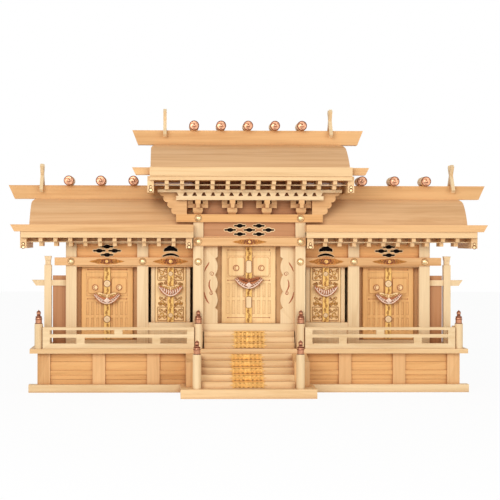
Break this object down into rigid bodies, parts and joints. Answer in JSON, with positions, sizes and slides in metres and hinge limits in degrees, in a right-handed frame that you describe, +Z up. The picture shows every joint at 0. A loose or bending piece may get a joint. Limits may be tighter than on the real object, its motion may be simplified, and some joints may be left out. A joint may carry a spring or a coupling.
{
  "type": "household shrine",
  "caption": "Wide plain-wood kamidana: raised centre roof between lower side roofs, opening door pairs, stairs, railings and a podium.",
  "frame": {"origin": "middle of the bounding box, on the surface the shrine stands on", "axes": "+X along the front, to the right as seen from the front; -Y is the front; +Z up"},
  "size_m": [1.09, 0.401, 0.6378],
  "materials": {
    "frame_wood": "planed, unvarnished cypress",
    "roof_wood": "planed, warmer in tone",
    "door_wood": "planed, panelled",
    "pale_wood": "planed, pale",
    "bronze": "polished, darkened in the recesses",
    "gold": "gilt, stamped relief"
  },
  "bodies": {
    "shrine": {"back_wall": "frame_wood", "base_board": "frame_wood", "bracket_sets": "frame_wood", "bracket_tie": "frame_wood", "centre_frieze": "frame_wood", "centre_pillars": "frame_wood", "deck_board": "frame_wood", "door_stops": "frame_wood", "eave_battens": "frame_wood", "eave_boards": "frame_wood", "eave_planks": "frame_wood", "eave_purlin": "frame_wood", "end_boards": "frame_wood", "frieze_panels": "frame_wood", "gable_boards": "frame_wood", "head_beam": "frame_wood", "lintels": "frame_wood", "log_caps": "gold", "lower_rafters": "frame_wood", "nail_covers": "gold", "narrow_bay_boards": "frame_wood", "newel_finials": "bronze", "newel_posts": "frame_wood", "podium_panels": "frame_wood", "podium_posts": "frame_wood", "railings": "frame_wood", "ridge_boards": "frame_wood", "ridge_forks": "frame_wood", "ridge_logs": "frame_wood", "roof_backs": "roof_wood", "roof_fronts": "roof_wood", "screen_panels": "frame_wood", "side_corbels": "frame_wood", "side_screens": "frame_wood", "side_walls": "frame_wood", "sills": "frame_wood", "sleeve_boards": "frame_wood", "soffit_boards": "frame_wood", "stair_base": "frame_wood", "stair_cheeks": "frame_wood", "steps": "frame_wood", "upper_rafters": "frame_wood", "upper_walls": "frame_wood", "wall_plates": "frame_wood", "wall_posts": "frame_wood"},
    "outer_left_locked_leaf": {"outer_left_locked": "door_wood", "outer_left_lock": "pale_wood"},
    "outer_left_free_leaf": {"outer_left_free": "door_wood"},
    "outer_right_locked_leaf": {"outer_right_locked": "door_wood", "outer_right_lock": "pale_wood"},
    "outer_right_free_leaf": {"outer_right_free": "door_wood"},
    "narrow_left_locked_leaf": {"narrow_left_locked": "door_wood", "narrow_left_lock": "pale_wood"},
    "narrow_left_free_leaf": {"narrow_left_free": "door_wood"},
    "narrow_right_locked_leaf": {"narrow_right_locked": "door_wood", "narrow_right_lock": "pale_wood"},
    "narrow_right_free_leaf": {"narrow_right_free": "door_wood"},
    "centre_locked_leaf": {"centre_locked": "door_wood", "centre_lock": "pale_wood"},
    "centre_free_leaf": {"centre_free": "door_wood"}
  },
  "joints": [
    {"name": "outer_left_locked_hinge", "type": "hinge", "parent": "shrine", "child": "outer_left_locked_leaf", "pos_m": [-0.3755, 0.0075, 0.112], "axis": [0, 0, -1], "range_deg": [0, 95]},
    {"name": "outer_left_free_hinge", "type": "hinge", "parent": "shrine", "child": "outer_left_free_leaf", "pos_m": [-0.264, 0.0075, 0.112], "axis": [0, 0, 1], "range_deg": [0, 95]},
    {"name": "outer_right_locked_hinge", "type": "hinge", "parent": "shrine", "child": "outer_right_locked_leaf", "pos_m": [0.3755, 0.0075, 0.112], "axis": [0, 0, 1], "range_deg": [0, 95]},
    {"name": "outer_right_free_hinge", "type": "hinge", "parent": "shrine", "child": "outer_right_free_leaf", "pos_m": [0.264, 0.0075, 0.112], "axis": [0, 0, -1], "range_deg": [0, 95]},
    {"name": "narrow_left_locked_hinge", "type": "hinge", "parent": "shrine", "child": "narrow_left_locked_leaf", "pos_m": [-0.208, 0.0015, 0.152], "axis": [0, 0, -1], "range_deg": [0, 95]},
    {"name": "narrow_left_free_hinge", "type": "hinge", "parent": "shrine", "child": "narrow_left_free_leaf", "pos_m": [-0.144, 0.0015, 0.152], "axis": [0, 0, 1], "range_deg": [0, 95]},
    {"name": "narrow_right_locked_hinge", "type": "hinge", "parent": "shrine", "child": "narrow_right_locked_leaf", "pos_m": [0.208, 0.0015, 0.152], "axis": [0, 0, 1], "range_deg": [0, 95]},
    {"name": "narrow_right_free_hinge", "type": "hinge", "parent": "shrine", "child": "narrow_right_free_leaf", "pos_m": [0.144, 0.0015, 0.152], "axis": [0, 0, -1], "range_deg": [0, 95]},
    {"name": "centre_locked_hinge", "type": "hinge", "parent": "shrine", "child": "centre_locked_leaf", "pos_m": [0.0585, -0.0205, 0.151], "axis": [0, 0, 1], "range_deg": [0, 95]},
    {"name": "centre_free_hinge", "type": "hinge", "parent": "shrine", "child": "centre_free_leaf", "pos_m": [-0.0585, -0.0205, 0.151], "axis": [0, 0, -1], "range_deg": [0, 95]}
  ],
  "couplings": [
    {"joint": "outer_left_free_hinge", "follows": "outer_left_locked_hinge", "ratio": 1},
    {"joint": "outer_right_free_hinge", "follows": "outer_right_locked_hinge", "ratio": 1},
    {"joint": "narrow_left_free_hinge", "follows": "narrow_left_locked_hinge", "ratio": 1},
    {"joint": "narrow_right_free_hinge", "follows": "narrow_right_locked_hinge", "ratio": 1},
    {"joint": "centre_free_hinge", "follows": "centre_locked_hinge", "ratio": 1}
  ]
}
